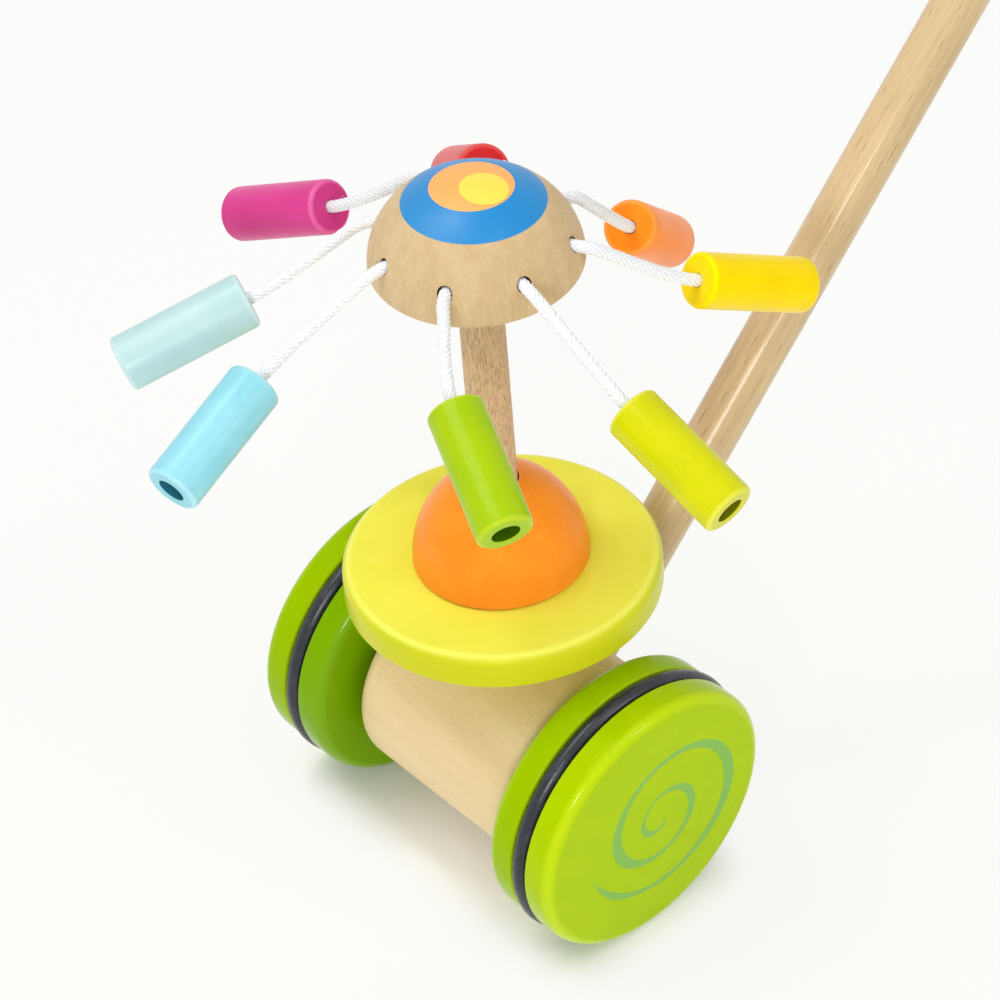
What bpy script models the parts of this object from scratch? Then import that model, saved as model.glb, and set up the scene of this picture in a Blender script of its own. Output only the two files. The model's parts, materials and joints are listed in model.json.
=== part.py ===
"""Wooden toddler push toy with a spinning roundabout of corded beads.

Two wheels share an axle through a turned drum. A push handle leans back out of
the drum, and a shaft stands in it, tilted a little to one side, so that the
disc on the shaft rests on one wheel's rubber ring only. Rolling the toy turns
the disc, the shaft and the dome, and the beads on their cords swing outward.

Frame: +Z up, -Y the way the toy is pushed, +X along the axle. The origin lies
on the floor under the middle of the toy's bounding box, cords left out.
All sizes are in metres.
"""
import math

import bmesh
import bpy
from mathutils import Matrix, Vector

# Wheels, their rubber rings and the axle
WHEEL_RADIUS = 0.0500
WHEEL_WIDTH = 0.0294
WHEEL_EDGE = 0.0040            # rounding of the two outer edges
GROOVE_LIP = 0.0012            # rounding of the groove's two lips
RING_SECTION_RADIUS = 0.0029
RING_PROUD = 0.0008            # how far the ring stands out of the tread
AXLE_RADIUS = 0.0040
AXLE_IN_WHEEL = 0.0180         # depth of the blind bore in each wheel
AXLE_CHAMFER = 0.0006

# Drum between the wheels
DRUM_RADIUS = 0.0375
DRUM_LENGTH = 0.0760
DRUM_EDGE = 0.0060

# Push handle, a dowel that leans back
HANDLE_RADIUS = 0.0090
HANDLE_LENGTH = 0.5800
HANDLE_EDGE = 0.0035
HANDLE_IN_DRUM = 0.0300        # along the handle, from the drum's skin
HANDLE_BEHIND_AXLE = 0.0254    # from the axle's centre line to the handle's
HANDLE_LEAN_DEG = 41.6
HANDLE_SIDE_LEAN_DEG = 0.5     # towards the +X wheel

# Shaft of the roundabout
SHAFT_RADIUS = 0.0075
SHAFT_CHAMFER = 0.0010
SHAFT_BEHIND_AXLE = 0.0052
SHAFT_OFF_CENTRE = 0.0032      # towards the -X wheel, at the axle's height
SHAFT_FOOT_HEIGHT = 0.0080     # foot of the shaft above the axle's centre line
SHAFT_TILT_DEG = 4.1           # towards the -X wheel

# Disc that rests on the ring
DISC_RADIUS = 0.0541
DISC_THICKNESS = 0.0125
DISC_TOP_EDGE = 0.0038
DISC_LOW_EDGE = 0.0010

# Hemisphere on the disc
CAP_RADIUS = 0.0300
CAP_HEIGHT = 0.0340
CAP_BORE_SLACK = 0.0009        # visible gap round the shaft

# Dome that carries the cords
DOME_RADIUS = 0.0352
DOME_HEIGHT = 0.0314
DOME_RIM = 0.0015
DOME_ABOVE_DISC = 0.1232       # clear height between the disc and the dome
DOME_WALL = 0.0070
DOME_HOLLOW_DEPTH = 0.0158
DOME_HOLLOW_EDGE = 0.0030
DOME_BOSS_RADIUS = 0.0130
DOME_SOCKET_DEPTH = 0.0200
CORD_HOLE_RADIUS = 0.0029
CORD_HOLE_HEIGHT = 0.0118      # above the dome's underside

# Cords and beads
CORD_RADIUS = 0.0020
CORD_BEND = 0.0120             # how far a cord runs straight on before it bends
CORD_REACH = 0.0500            # from a cord's swing point straight to its bead
SWING_STANDOFF = 0.0030        # swing point outside the dome's skin
KNOT_RADIUS = 0.0035
KNOT_TAIL = 0.0030
BEAD_RADIUS = 0.0093
BEAD_LENGTH = 0.0455
BEAD_EDGE = 0.0013
BEAD_BORE_RADIUS = 0.0025
BEAD_MOUTH_RADIUS = 0.0046     # wider bore at the outer end, round the knot
BEAD_MOUTH_DEPTH = 0.0190

# Clearances
SEAT_GAP = 0.0003              # between pieces that touch or are glued
RUNNING_GAP = 0.0004           # round a turning piece
WHEEL_SIDE_GAP = 0.0045        # between the drum's ends and the wheels
OVERRUN = 0.0030               # how far a cutter reaches past a face
MERGE = 0.00002                # merge distance of turned shapes

# Facets
WHEEL_STEPS = 44
RING_STEPS = 44
RING_SIDES = 8
DRUM_STEPS = 40
DISC_STEPS = 52
CAP_STEPS = 36
DOME_STEPS = 40
DOWEL_STEPS = 20
BEAD_STEPS = 18
HOLE_STEPS = 10
CORD_PARTS = 6                 # stretches of a cord's free run

# Beads in order round the dome, with their colours
FIRST_HOLE_DEG = -59.0
BEADS = (
    ("green", (0.33, 0.56, 0.00)),
    ("lime", (0.68, 0.70, 0.01)),
    ("yellow", (0.90, 0.66, 0.00)),
    ("orange", (0.88, 0.24, 0.03)),
    ("red", (0.65, 0.03, 0.04)),
    ("pink", (0.68, 0.06, 0.27)),
    ("mint", (0.55, 0.77, 0.73)),
    ("cyan", (0.30, 0.68, 0.76)),
)
# How each bead hangs out in the turning dome's wake, in degrees: the droop and
# the sideways trail of its cord, then the droop and the trail of the bead.
BEAD_POSES_DEG = (
    (7, 21, 24, 37),
    (14, 5, 22, 15),
    (36, 40, 27, 48),
    (47, 31, 42, 39),
    (37, 30, 35, 34),
    (35, 25, 25, 25),
    (8, 55, 17, 35),
    (23, 8, 18, 23),
)
BEAD_REACH_SHARES = (0.95, 1.12, 0.96, 0.99, 0.97, 0.98, 0.97, 1.04)
HOLE_PITCH_DEG = 360.0 / len(BEADS)

# Worked out from the sizes above
AXLE_HEIGHT = WHEEL_RADIUS + RING_PROUD
WHEEL_INNER_X = DRUM_LENGTH / 2 + WHEEL_SIDE_GAP
RING_X = WHEEL_INNER_X + WHEEL_WIDTH / 2
RING_MAJOR_RADIUS = WHEEL_RADIUS + RING_PROUD - RING_SECTION_RADIUS
SHAFT_TILT = math.radians(SHAFT_TILT_DEG)
RING_OFF_AXIS = RING_X - SHAFT_OFF_CENTRE
DISC_LOW = (RING_OFF_AXIS * math.sin(SHAFT_TILT) + RING_MAJOR_RADIUS * math.cos(SHAFT_TILT)
            + RING_SECTION_RADIUS + SEAT_GAP)
DISC_TOP = DISC_LOW + DISC_THICKNESS
CAP_LOW = DISC_TOP + SEAT_GAP
DOME_LOW = DISC_TOP + DOME_ABOVE_DISC

# Colours of the materials, linear, with roughness
GREEN = (0.36, 0.60, 0.00)
RUBBER = (0.02, 0.024, 0.023)
DISC_YELLOW = (0.84, 0.80, 0.06)
CAP_ORANGE = (0.95, 0.30, 0.04)
MAPLE = (0.72, 0.54, 0.33)
BEECH = (0.62, 0.42, 0.26)
COTTON = (0.88, 0.88, 0.86)
PAINT_ROUGHNESS = 0.35
WOOD_ROUGHNESS = 0.55
RUBBER_ROUGHNESS = 0.45
COTTON_ROUGHNESS = 0.9


def new_collection(name):
    """Make a collection and link it to the scene."""
    collection = bpy.data.collections.new(name)
    bpy.context.scene.collection.children.link(collection)
    return collection


def make_material(name, colour, roughness):
    """A plain Principled material."""
    material = bpy.data.materials.new(name)
    material.use_nodes = True
    shader = material.node_tree.nodes["Principled BSDF"]
    shader.inputs["Base Color"].default_value = (*colour, 1.0)
    shader.inputs["Roughness"].default_value = roughness
    material.diffuse_color = (*colour, 1.0)
    return material


def make_empty(name, parent, matrix):
    """An empty that carries other objects, placed relative to its parent."""
    empty = bpy.data.objects.new(name, None)
    empty.empty_display_size = KNOT_RADIUS
    toy.objects.link(empty)
    empty.parent = parent
    empty.matrix_local = matrix
    return empty


def arc(centre_r, centre_z, radius, start_deg, end_deg, parts):
    """Points of an arc in a turning profile, angles from the radius towards +Z."""
    points = []
    for i in range(parts + 1):
        angle = math.radians(start_deg + (end_deg - start_deg) * i / parts)
        points.append((centre_r + radius * math.cos(angle), centre_z + radius * math.sin(angle)))
    return points


def turned(name, profile, steps, parent, matrix, colour, roughness, closed=True):
    """A turned solid: a profile of (radius, height), outer side top to bottom."""
    mesh = bpy.data.meshes.new(name)
    edges = [(i, i + 1) for i in range(len(profile) - 1)]
    if closed:
        edges.append((len(profile) - 1, 0))
    mesh.from_pydata([(r, 0.0, z) for r, z in profile], edges, [])
    mesh.materials.append(make_material(name, colour, roughness))
    part = bpy.data.objects.new(name, mesh)
    toy.objects.link(part)
    part.parent = parent
    part.matrix_local = matrix
    screw = part.modifiers.new("Turn", "SCREW")
    screw.axis = "Z"
    screw.angle = math.tau
    screw.steps = steps
    screw.render_steps = steps
    screw.use_merge_vertices = True
    screw.merge_threshold = MERGE
    screw.use_smooth_shade = True
    return part


def cylinder_cutter(name, radius, low, high, parent, matrix, steps):
    """A wire-drawn cylinder along local Z from low to high, for a Boolean."""
    bpy.ops.mesh.primitive_cylinder_add(vertices=steps, radius=radius, depth=high - low)
    cutter = bpy.context.object
    cutter.name = name
    cutter.data.transform(Matrix.Translation((0, 0, (low + high) / 2)))
    cutter.parent = parent
    cutter.matrix_local = matrix
    to_cutters(cutter)
    return cutter


def to_cutters(cutter):
    """Move a cutter to its own collection, drawn as wire."""
    for collection in list(cutter.users_collection):
        collection.objects.unlink(cutter)
    cutters.objects.link(cutter)
    cutter.hide_render = True
    cutter.display_type = "WIRE"


def cut(part, cutter):
    """Subtract the cutter from the part."""
    boolean = part.modifiers.new("Cut " + cutter.name, "BOOLEAN")
    boolean.operation = "DIFFERENCE"
    boolean.solver = "EXACT"
    boolean.object = cutter


def tube(name, points, factors, parent, matrix, colour, roughness):
    """A cord: a poly curve with a bevel, thickened at its knots."""
    curve = bpy.data.curves.new(name, "CURVE")
    curve.dimensions = "3D"
    curve.bevel_depth = CORD_RADIUS
    curve.bevel_resolution = 2
    curve.use_fill_caps = True
    spline = curve.splines.new("POLY")
    spline.points.add(len(points) - 1)
    for spot, point, factor in zip(spline.points, points, factors):
        spot.co = (*point, 1.0)
        spot.radius = factor
    curve.materials.append(make_material(name, colour, roughness))
    cord = bpy.data.objects.new(name, curve)
    toy.objects.link(cord)
    cord.parent = parent
    cord.matrix_local = matrix
    return cord


def pointing(direction, at=(0, 0, 0)):
    """A matrix that puts local Z along the direction."""
    turn = Vector(direction).to_track_quat("Z", "Y").to_matrix().to_4x4()
    return Matrix.Translation(at) @ turn


def wheel_profile():
    """Wheel section with a groove for the ring and a blind bore for the axle.

    Height 0 is the inner face, next to the drum, and the bore opens there.
    """
    top = WHEEL_WIDTH
    middle = WHEEL_WIDTH / 2
    seat = RING_SECTION_RADIUS + SEAT_GAP
    bore = AXLE_RADIUS + SEAT_GAP
    lip_r = WHEEL_RADIUS - GROOVE_LIP
    profile = [(0, top)]
    profile += arc(WHEEL_RADIUS - WHEEL_EDGE, top - WHEEL_EDGE, WHEEL_EDGE, 90, 0, 3)
    profile += arc(lip_r, middle + seat + GROOVE_LIP, GROOVE_LIP, 0, -90, 1)
    profile += arc(RING_MAJOR_RADIUS, middle, seat, 90, 270, 5)
    profile += arc(lip_r, middle - seat - GROOVE_LIP, GROOVE_LIP, 90, 0, 1)
    profile += arc(WHEEL_RADIUS - WHEEL_EDGE, WHEEL_EDGE, WHEEL_EDGE, 0, -90, 3)
    profile += [(bore, 0), (bore, AXLE_IN_WHEEL + SEAT_GAP), (0, AXLE_IN_WHEEL + SEAT_GAP)]
    return profile


def dowel_profile(radius, length, edge, parts):
    """Solid round rod from height 0 to its length, both ends rounded alike."""
    profile = [(0, length)]
    profile += arc(radius - edge, length - edge, edge, 90, 0, parts)
    profile += arc(radius - edge, edge, edge, 0, -90, parts)
    profile += [(0, 0)]
    return profile


def ring_profile():
    """Round section of a rubber ring, centred on height 0."""
    return arc(RING_MAJOR_RADIUS, 0, RING_SECTION_RADIUS, 90, -270, RING_SIDES)[:-1]


def drum_profile():
    """Drum section with the axle's running bore, centred on height 0."""
    half = DRUM_LENGTH / 2
    bore = AXLE_RADIUS + RUNNING_GAP
    profile = arc(DRUM_RADIUS - DRUM_EDGE, half - DRUM_EDGE, DRUM_EDGE, 90, 0, 4)
    profile += arc(DRUM_RADIUS - DRUM_EDGE, DRUM_EDGE - half, DRUM_EDGE, 0, -90, 4)
    profile += [(bore, -half), (bore, half)]
    return profile


def disc_profile():
    """Disc section from its underside at height 0, round the shaft."""
    bore = SHAFT_RADIUS + SEAT_GAP
    top = DISC_THICKNESS
    profile = [(bore, top)]
    profile += arc(DISC_RADIUS - DISC_TOP_EDGE, top - DISC_TOP_EDGE, DISC_TOP_EDGE, 90, 0, 4)
    profile += arc(DISC_RADIUS - DISC_LOW_EDGE, DISC_LOW_EDGE, DISC_LOW_EDGE, 0, -90, 2)
    profile += [(bore, 0)]
    return profile


def cap_profile():
    """Hemisphere section, a little taller than round, with a loose bore."""
    bore = SHAFT_RADIUS + CAP_BORE_SLACK
    start = math.acos(bore / CAP_RADIUS)
    profile = []
    parts = 9
    for i in range(parts + 1):
        angle = start * (1 - i / parts)
        profile.append((CAP_RADIUS * math.cos(angle), CAP_HEIGHT * math.sin(angle)))
    profile.append((bore, 0))
    return profile


def dome_radius_at(height):
    """Outer radius of the dome at a height above its rim's underside."""
    share = (height - DOME_RIM) / (DOME_HEIGHT - DOME_RIM)
    return DOME_RADIUS * math.sqrt(1 - share ** 2)


def dome_profile():
    """Dome section: shell, hollow underside, boss and the shaft's socket."""
    hollow_r = DOME_RADIUS - DOME_WALL
    socket = SHAFT_RADIUS + SEAT_GAP
    profile = []
    parts = 9
    for i in range(parts + 1):
        angle = math.pi / 2 * (1 - i / parts)
        radius = DOME_RADIUS * math.cos(angle) if i else 0
        profile.append((radius, DOME_RIM + (DOME_HEIGHT - DOME_RIM) * math.sin(angle)))
    profile += arc(DOME_RADIUS - DOME_RIM, DOME_RIM, DOME_RIM, 0, -90, 3)[1:]
    profile += [(hollow_r, 0)]
    profile += arc(hollow_r - DOME_HOLLOW_EDGE, DOME_HOLLOW_DEPTH - DOME_HOLLOW_EDGE,
                   DOME_HOLLOW_EDGE, 0, 90, 2)
    profile += [(DOME_BOSS_RADIUS, DOME_HOLLOW_DEPTH), (DOME_BOSS_RADIUS, 0)]
    profile += [(socket, 0), (socket, DOME_SOCKET_DEPTH + SEAT_GAP)]
    profile += [(0, DOME_SOCKET_DEPTH + SEAT_GAP)]
    return profile


def bead_profile():
    """Bead section from its inner end at height 0, with the knot's wider mouth."""
    profile = arc(BEAD_RADIUS - BEAD_EDGE, BEAD_LENGTH - BEAD_EDGE, BEAD_EDGE, 90, 0, 2)
    profile += arc(BEAD_RADIUS - BEAD_EDGE, BEAD_EDGE, BEAD_EDGE, 0, -90, 2)
    profile += [(BEAD_BORE_RADIUS, 0)]
    profile += [(BEAD_BORE_RADIUS, BEAD_LENGTH - BEAD_MOUTH_DEPTH)]
    profile += [(BEAD_MOUTH_RADIUS, BEAD_LENGTH - BEAD_MOUTH_DEPTH)]
    profile += [(BEAD_MOUTH_RADIUS, BEAD_LENGTH)]
    return profile


def bezier(a, b, c, d, share):
    """Point of a cubic curve at a share of its run."""
    rest = 1 - share
    return (a * rest ** 3 + b * 3 * rest ** 2 * share + c * 3 * rest * share ** 2
            + d * share ** 3)


def knot(at, direction):
    """Points and thickness factors of a knot on a cord, centred at a point."""
    swell = KNOT_RADIUS / CORD_RADIUS
    shares = ((-1.0, 1.0), (-0.6, 0.85 * swell), (0.0, swell), (0.6, 0.85 * swell), (1.0, 1.0))
    points = [at + direction * (KNOT_RADIUS * along) for along, _ in shares]
    return points, [thick for _, thick in shares]


def ball_end(at, direction):
    """Rounded start of a cord at its swing point, which the direction leaves."""
    degrees = (70, 40)
    points = [at - direction * (CORD_RADIUS * math.sin(math.radians(d))) for d in degrees]
    return points, [math.cos(math.radians(d)) for d in degrees]


def heading(azimuth_deg, droop_deg):
    """Unit direction in the roundabout's frame."""
    azimuth = math.radians(azimuth_deg)
    droop = math.radians(droop_deg)
    return Vector((math.cos(azimuth) * math.cos(droop), math.sin(azimuth) * math.cos(droop),
                   -math.sin(droop)))


def build_wheels(base):
    """Axle, both wheels and both rings, on an empty on the axle's centre line."""
    axle_line = make_empty("axle_line", base, Matrix.Translation((0, 0, AXLE_HEIGHT)))
    axle_half = WHEEL_INNER_X + AXLE_IN_WHEEL
    turned("axle", dowel_profile(AXLE_RADIUS, 2 * axle_half, AXLE_CHAMFER, 1), DOWEL_STEPS,
           axle_line, pointing((1, 0, 0), (-axle_half, 0, 0)), BEECH, WOOD_ROUGHNESS, closed=False)
    for side, sign in (("near", 1), ("far", -1)):
        face = pointing((sign, 0, 0), (sign * WHEEL_INNER_X, 0, 0))
        turned("wheel_" + side, wheel_profile(), WHEEL_STEPS, axle_line, face,
               GREEN, PAINT_ROUGHNESS, closed=False)
        turned("ring_" + side, ring_profile(), RING_STEPS, axle_line,
               pointing((sign, 0, 0), (sign * RING_X, 0, 0)), RUBBER, RUBBER_ROUGHNESS)
    return axle_line


def build_body(base, axle_line, roundabout):
    """Drum with the shaft's bore and the handle's socket, and the handle."""
    drum = turned("drum", drum_profile(), DRUM_STEPS, axle_line, pointing((1, 0, 0)),
                  MAPLE, WOOD_ROUGHNESS)
    bore = cylinder_cutter("shaft_bore", SHAFT_RADIUS + RUNNING_GAP,
                           SHAFT_FOOT_HEIGHT - SEAT_GAP, DRUM_RADIUS + OVERRUN,
                           roundabout, Matrix(), DOWEL_STEPS)
    cut(drum, bore)
    lean = math.radians(HANDLE_LEAN_DEG)
    side = math.radians(HANDLE_SIDE_LEAN_DEG)
    along = Vector((math.sin(side), math.sin(lean) * math.cos(side),
                    math.cos(lean) * math.cos(side)))
    nearest = Vector((0, math.cos(lean), -math.sin(lean))) * HANDLE_BEHIND_AXLE
    skin = math.sqrt(DRUM_RADIUS ** 2 - HANDLE_BEHIND_AXLE ** 2)
    start = nearest + along * (skin - HANDLE_IN_DRUM)
    seat = pointing(along, start)
    socket = cylinder_cutter("handle_socket", HANDLE_RADIUS + SEAT_GAP, -SEAT_GAP,
                             HANDLE_IN_DRUM + DRUM_RADIUS, axle_line, seat, DOWEL_STEPS)
    cut(drum, socket)
    turned("handle", dowel_profile(HANDLE_RADIUS, HANDLE_LENGTH, HANDLE_EDGE, 3), DOWEL_STEPS,
           axle_line, seat, BEECH, WOOD_ROUGHNESS, closed=False)


def build_roundabout(roundabout):
    """Shaft, disc, hemisphere and dome, along the tilted axis."""
    shaft_length = DOME_LOW + DOME_SOCKET_DEPTH - SHAFT_FOOT_HEIGHT
    turned("shaft", dowel_profile(SHAFT_RADIUS, shaft_length, SHAFT_CHAMFER, 1), DOWEL_STEPS,
           roundabout, Matrix.Translation((0, 0, SHAFT_FOOT_HEIGHT)), BEECH, WOOD_ROUGHNESS,
           closed=False)
    turned("disc", disc_profile(), DISC_STEPS, roundabout,
           Matrix.Translation((0, 0, DISC_LOW)), DISC_YELLOW, PAINT_ROUGHNESS)
    turned("hemisphere", cap_profile(), CAP_STEPS, roundabout,
           Matrix.Translation((0, 0, CAP_LOW)), CAP_ORANGE, PAINT_ROUGHNESS)
    dome = turned("dome", dome_profile(), DOME_STEPS, roundabout,
                  Matrix.Translation((0, 0, DOME_LOW)), MAPLE, WOOD_ROUGHNESS, closed=False)
    cut(dome, cord_hole_cutter(roundabout))


def cord_hole_cutter(roundabout):
    """All the cord holes of the dome as one cutter of radial cylinders."""
    shape = bmesh.new()
    inner = DOME_RADIUS - DOME_WALL - DOME_HOLLOW_EDGE
    outer = DOME_RADIUS + OVERRUN
    middle = (inner + outer) / 2
    for i in range(len(BEADS)):
        out = heading(FIRST_HOLE_DEG + i * HOLE_PITCH_DEG, 0)
        bmesh.ops.create_cone(shape, cap_ends=True, segments=HOLE_STEPS,
                              radius1=CORD_HOLE_RADIUS, radius2=CORD_HOLE_RADIUS,
                              depth=outer - inner, matrix=pointing(out, out * middle))
    mesh = bpy.data.meshes.new("cord_holes")
    shape.to_mesh(mesh)
    shape.free()
    cutter = bpy.data.objects.new("cord_holes", mesh)
    cutters.objects.link(cutter)
    cutter.parent = roundabout
    cutter.matrix_local = Matrix.Translation((0, 0, DOME_LOW + CORD_HOLE_HEIGHT))
    to_cutters(cutter)
    return cutter


def build_bead(roundabout, index):
    """One cord with its inner knot, and its bead on a swinging empty."""
    name, colour = BEADS[index]
    cord_droop, cord_trail, bead_droop, bead_trail = BEAD_POSES_DEG[index]
    hole_deg = FIRST_HOLE_DEG + index * HOLE_PITCH_DEG
    out = heading(hole_deg, 0)
    level = Vector((0, 0, DOME_LOW + CORD_HOLE_HEIGHT))
    skin_r = dome_radius_at(CORD_HOLE_HEIGHT)
    pivot = level + out * (skin_r + SWING_STANDOFF)

    knot_r = DOME_RADIUS - DOME_WALL - SEAT_GAP - KNOT_RADIUS
    points, factors = knot(level + out * knot_r, out)
    points.insert(0, points[0] - out * KNOT_TAIL)
    factors.insert(0, 1.0)
    points.append(pivot - out * (CORD_RADIUS + SEAT_GAP))
    factors.append(1.0)
    tube("cord_root_" + name, points, factors, roundabout, Matrix(), COTTON, COTTON_ROUGHNESS)

    cord_out = heading(hole_deg + cord_trail, cord_droop)
    bead_out = heading(hole_deg + bead_trail, bead_droop)
    bead_at = pivot + cord_out * (CORD_REACH * BEAD_REACH_SHARES[index])
    level_out = bead_at + bead_out * (BEAD_LENGTH / 2) - pivot
    level_out.z = 0
    level_out.normalize()
    up = Vector((0, 0, 1))
    swing_matrix = Matrix.Translation(pivot) @ Matrix(
        (level_out, up.cross(level_out), up)).transposed().to_4x4()
    swing = make_empty("swing_" + name, roundabout, swing_matrix)
    to_swing = swing_matrix.inverted()
    turned("bead_" + name, bead_profile(), BEAD_STEPS, swing,
           to_swing @ pointing(bead_out, bead_at), colour, PAINT_ROUGHNESS)

    points, factors = ball_end(pivot, cord_out)
    for i in range(CORD_PARTS + 1):
        points.append(bezier(pivot, pivot + cord_out * CORD_BEND,
                             bead_at - bead_out * CORD_BEND, bead_at, i / CORD_PARTS))
        factors.append(1.0)
    knot_at = BEAD_LENGTH - BEAD_MOUTH_DEPTH + SEAT_GAP + KNOT_RADIUS
    knot_points, knot_factors = knot(bead_at + bead_out * knot_at, bead_out)
    points += knot_points
    factors += knot_factors
    points.append(knot_points[-1] + bead_out * KNOT_TAIL)
    factors.append(1.0)
    tube("cord_" + name, points, factors, swing, to_swing, COTTON, COTTON_ROUGHNESS)


def centre_on_origin(base):
    """Shift the toy so that its box, cords left out, stands centred on the origin."""
    bpy.context.view_layer.update()
    graph = bpy.context.evaluated_depsgraph_get()
    corners = []
    for part in toy.objects:
        if part.type != "MESH":
            continue
        solid = part.evaluated_get(graph)
        mesh = solid.to_mesh()
        corners += [part.matrix_world @ vertex.co for vertex in mesh.vertices]
        solid.to_mesh_clear()
    low = [min(corner[i] for corner in corners) for i in range(3)]
    high = [max(corner[i] for corner in corners) for i in range(3)]
    base.location = (-(low[0] + high[0]) / 2, -(low[1] + high[1]) / 2, -low[2])


for leftover in list(bpy.data.objects):
    bpy.data.objects.remove(leftover)
toy = new_collection("toddler_push_toy")
cutters = new_collection("cutters")

toy_base = make_empty("toy_base", None, Matrix())
wheels_line = build_wheels(toy_base)
tilt = Matrix.Rotation(-SHAFT_TILT, 4, "Y")
turning_axis = make_empty("roundabout_axis", toy_base,
                          Matrix.Translation((-SHAFT_OFF_CENTRE, SHAFT_BEHIND_AXLE,
                                              AXLE_HEIGHT)) @ tilt)
build_body(toy_base, wheels_line, turning_axis)
build_roundabout(turning_axis)
for bead_index in range(len(BEADS)):
    build_bead(turning_axis, bead_index)
centre_on_origin(toy_base)
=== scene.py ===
# %% [markdown]
# # A wooden push toy, dressed for its picture
#
# The toy rolls on two wheels that share a drum. A disc leans on the rubber ring
# of one wheel, so rolling the toy turns the disc, its post and the dome on top,
# and eight beads on cotton cords fly outward. The frame below is the measured
# CAD model; every cell after it puts a finer piece or a finish in its place.

# %% Load the frame
import json
import math
import random

import bmesh
import bpy
from mathutils import Matrix, Vector

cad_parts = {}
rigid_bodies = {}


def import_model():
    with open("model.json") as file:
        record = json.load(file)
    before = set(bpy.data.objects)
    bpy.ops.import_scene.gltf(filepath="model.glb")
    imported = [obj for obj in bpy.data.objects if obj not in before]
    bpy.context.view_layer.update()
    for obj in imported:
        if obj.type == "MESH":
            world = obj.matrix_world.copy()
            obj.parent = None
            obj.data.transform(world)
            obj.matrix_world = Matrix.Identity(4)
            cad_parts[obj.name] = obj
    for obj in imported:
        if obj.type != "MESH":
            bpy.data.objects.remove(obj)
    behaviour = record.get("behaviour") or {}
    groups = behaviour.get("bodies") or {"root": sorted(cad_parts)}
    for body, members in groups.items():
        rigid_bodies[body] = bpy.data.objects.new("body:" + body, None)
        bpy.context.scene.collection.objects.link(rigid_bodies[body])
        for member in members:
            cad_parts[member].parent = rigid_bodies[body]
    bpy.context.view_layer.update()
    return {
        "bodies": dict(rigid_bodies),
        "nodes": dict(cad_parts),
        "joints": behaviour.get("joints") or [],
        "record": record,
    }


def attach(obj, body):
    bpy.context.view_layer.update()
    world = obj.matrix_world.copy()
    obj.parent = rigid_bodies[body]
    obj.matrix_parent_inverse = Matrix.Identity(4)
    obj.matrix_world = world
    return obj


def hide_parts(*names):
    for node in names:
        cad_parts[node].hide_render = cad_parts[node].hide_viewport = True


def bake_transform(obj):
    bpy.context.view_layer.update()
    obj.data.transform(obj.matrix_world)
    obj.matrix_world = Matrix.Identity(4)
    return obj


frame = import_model()

# %% [markdown]
# ## Where things are
#
# The joints of the frame say where the axle and the turning axis lie. All other
# places follow from them, so a piece never needs to be nudged by hand.

# %% Joints of the frame
joints = {joint["name"]: joint for joint in frame["joints"]}
AXLE = Vector(joints["wheels_roll"]["pos_m"])
SPIN_FOOT = Vector(joints["roundabout_spin"]["pos_m"])
SPIN_AXIS = Vector(joints["roundabout_spin"]["axis"])
TILT = math.asin(-SPIN_AXIS.x)
ROUNDABOUT = Matrix.Translation(SPIN_FOOT) @ Matrix.Rotation(-TILT, 4, "Y")


def heading(azimuth_deg, droop_deg):
    """Unit direction in the roundabout's own frame."""
    azimuth, droop = math.radians(azimuth_deg), math.radians(droop_deg)
    return Vector((math.cos(azimuth) * math.cos(droop), math.sin(azimuth) * math.cos(droop),
                   -math.sin(droop)))


def pointing(direction, at=(0, 0, 0)):
    """A matrix that puts local Z along the direction."""
    turn = Vector(direction).to_track_quat("Z", "Y").to_matrix().to_4x4()
    return Matrix.Translation(at) @ turn


print("tilt of the turning axis", round(math.degrees(TILT), 2), "degrees")

# %% [markdown]
# ## The camera
#
# A picture is matched in its perspective first: a long lens from far away keeps
# the wheels nearly the same size, a short one near by would not. The lens, the
# distance and the small roll below give the photograph's perspective.

# %% Camera
LENS_WIDTHS = 4.9396           # focal length, in picture widths
SENSOR = 36.0
CAMERA_FROM_AXLE = Vector((0.8827, -0.7970, 1.2158))
CAMERA_AZIMUTH = math.radians(48.0)
CAMERA_DOWN = math.radians(43.17)
CAMERA_ROLL = math.radians(-1.249)
FARTHEST_SEEN = 20.0


def placed(name, data):
    """A new object of the scene."""
    made = bpy.data.objects.new(name, data)
    bpy.context.scene.collection.objects.link(made)
    return made


def camera_matrix():
    """World matrix of the camera, from its place, its heading and its roll."""
    a, e, roll = CAMERA_AZIMUTH, CAMERA_DOWN, CAMERA_ROLL
    forward = Vector((-math.sin(a) * math.cos(e), math.cos(a) * math.cos(e), -math.sin(e)))
    level = Vector((math.cos(a), math.sin(a), 0))
    above = level.cross(forward)
    right = level * math.cos(roll) + above * math.sin(roll)
    up = above * math.cos(roll) - level * math.sin(roll)
    matrix = Matrix((right, up, -forward)).transposed().to_4x4()
    matrix.translation = AXLE + CAMERA_FROM_AXLE
    return matrix


camera_data = bpy.data.cameras.new("camera")
camera_data.sensor_width = SENSOR
camera_data.lens = LENS_WIDTHS * SENSOR
camera_data.clip_end = FARTHEST_SEEN
camera = placed("camera", camera_data)
camera.matrix_world = camera_matrix()
bpy.context.scene.camera = camera
bpy.context.scene.view_settings.view_transform = "Standard"
print("lens", round(camera_data.lens, 1), "mm")

# %% [markdown]
# ## Colours
#
# Colours are easiest to judge as the 0 to 255 values of a screen, but a shader
# reckons in linear light, so each is converted once.


# %% Screen colours to linear light
def screen(red, green, blue):
    """Linear colour with full alpha from screen values."""
    linear = []
    for value in (red, green, blue):
        share = value / 255
        linear.append(share / 12.92 if share <= 0.04045 else ((share + 0.055) / 1.055) ** 2.4)
    return (*linear, 1.0)


print("mid grey", round(screen(188, 188, 188)[0], 3))

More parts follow.
